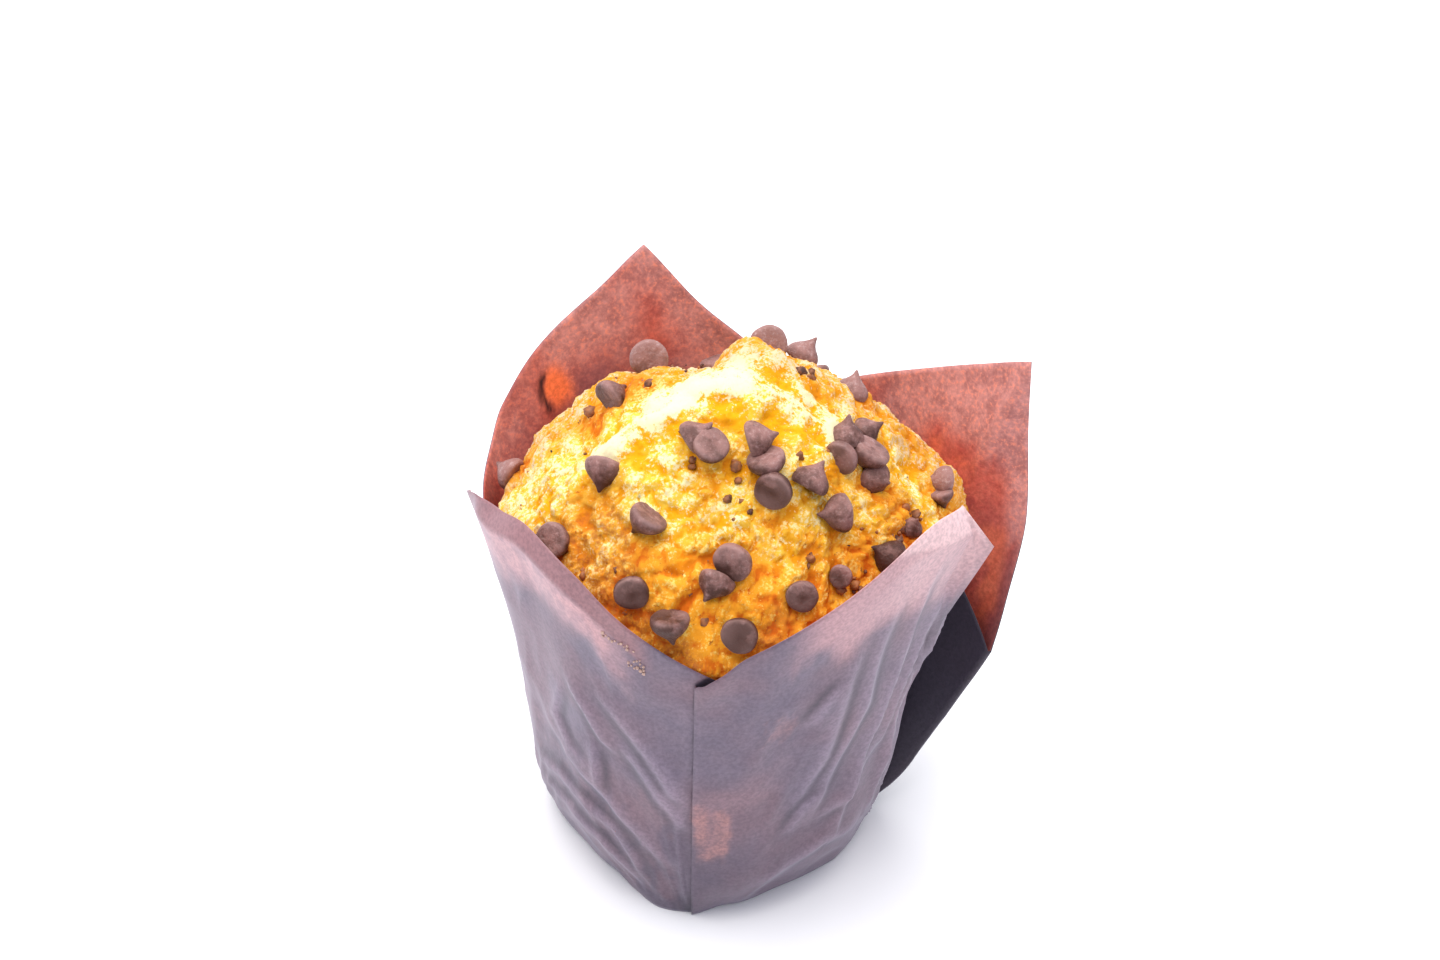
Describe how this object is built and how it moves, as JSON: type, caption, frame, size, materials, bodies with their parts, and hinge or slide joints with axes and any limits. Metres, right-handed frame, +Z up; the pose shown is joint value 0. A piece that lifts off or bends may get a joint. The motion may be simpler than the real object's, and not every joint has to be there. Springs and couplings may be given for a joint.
{
  "type": "muffin",
  "caption": "Domed chocolate-chip muffin in a dark pleated parchment tulip wrapper with upright petals.",
  "frame": {"origin": "centre of the wrapper's flat foot, on the surface that it stands on", "axes": "+Z up; -Y is the front, where the seam of the front pleat is; +X is to the right seen from the front"},
  "size_m": [0.0832, 0.0722, 0.0857],
  "materials": {
    "crumb": "matte baked crumb, golden with a pale crust",
    "parchment": "matte dark brown baking parchment"
  },
  "bodies": {
    "root": {"muffin": "crumb", "wrapper": "parchment"}
  },
  "joints": []
}
